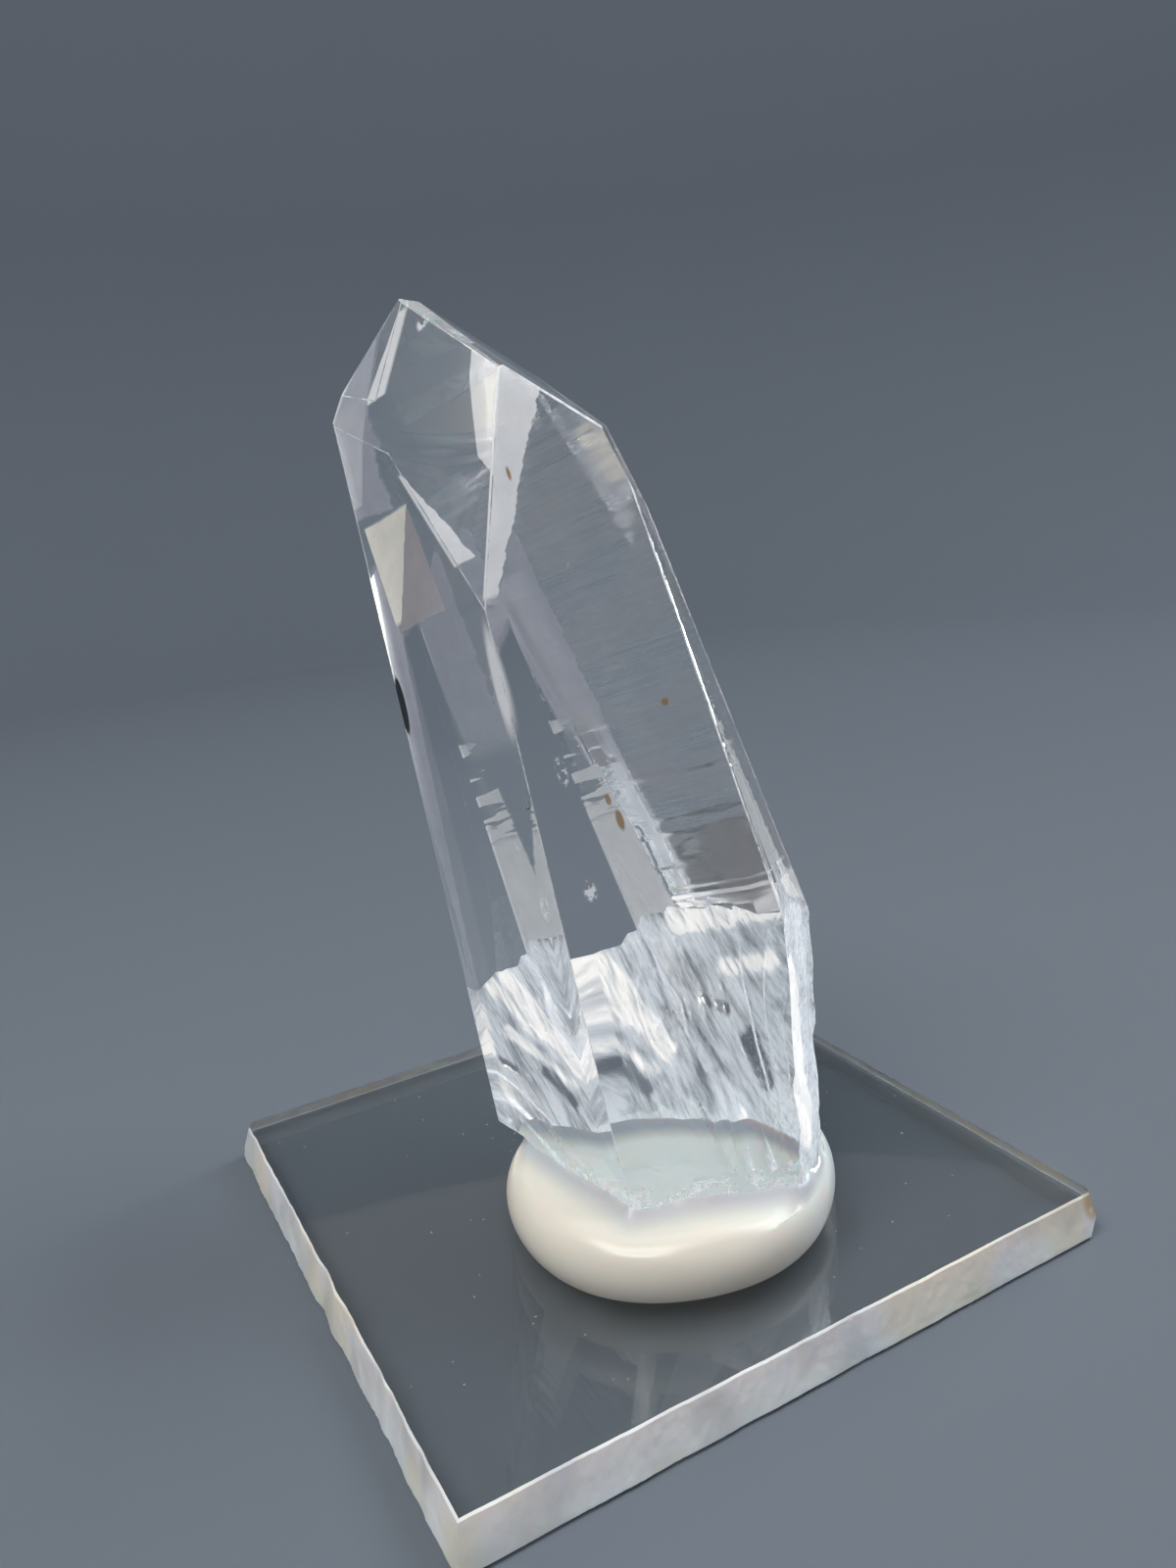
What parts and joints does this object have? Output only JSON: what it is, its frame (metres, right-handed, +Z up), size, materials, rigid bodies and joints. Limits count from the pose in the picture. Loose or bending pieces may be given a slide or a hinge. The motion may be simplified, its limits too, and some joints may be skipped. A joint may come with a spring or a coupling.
{
  "type": "quartz crystal on a display base",
  "caption": "Clear quartz point with cross-ridged faces and a broken root, standing in milky putty on a square clear acrylic base.",
  "frame": {"origin": "middle of the base's underside", "axes": "+Z up from the base; the base's sides run along X and Y; the corner between the -X and -Y sides points at the viewer of the picture"},
  "size_m": [0.0523, 0.0522, 0.0717],
  "materials": {
    "quartz": "water-clear quartz, glossy faces with fine cross ledges, white glassy break at the root",
    "mounting_putty": "milky, see-through, soft satin surface",
    "clear_acrylic": "clear, polished flat faces and frosted white sawn edges"
  },
  "bodies": {
    "root": {"crystal": "quartz", "putty": "mounting_putty", "base": "clear_acrylic"}
  },
  "joints": []
}
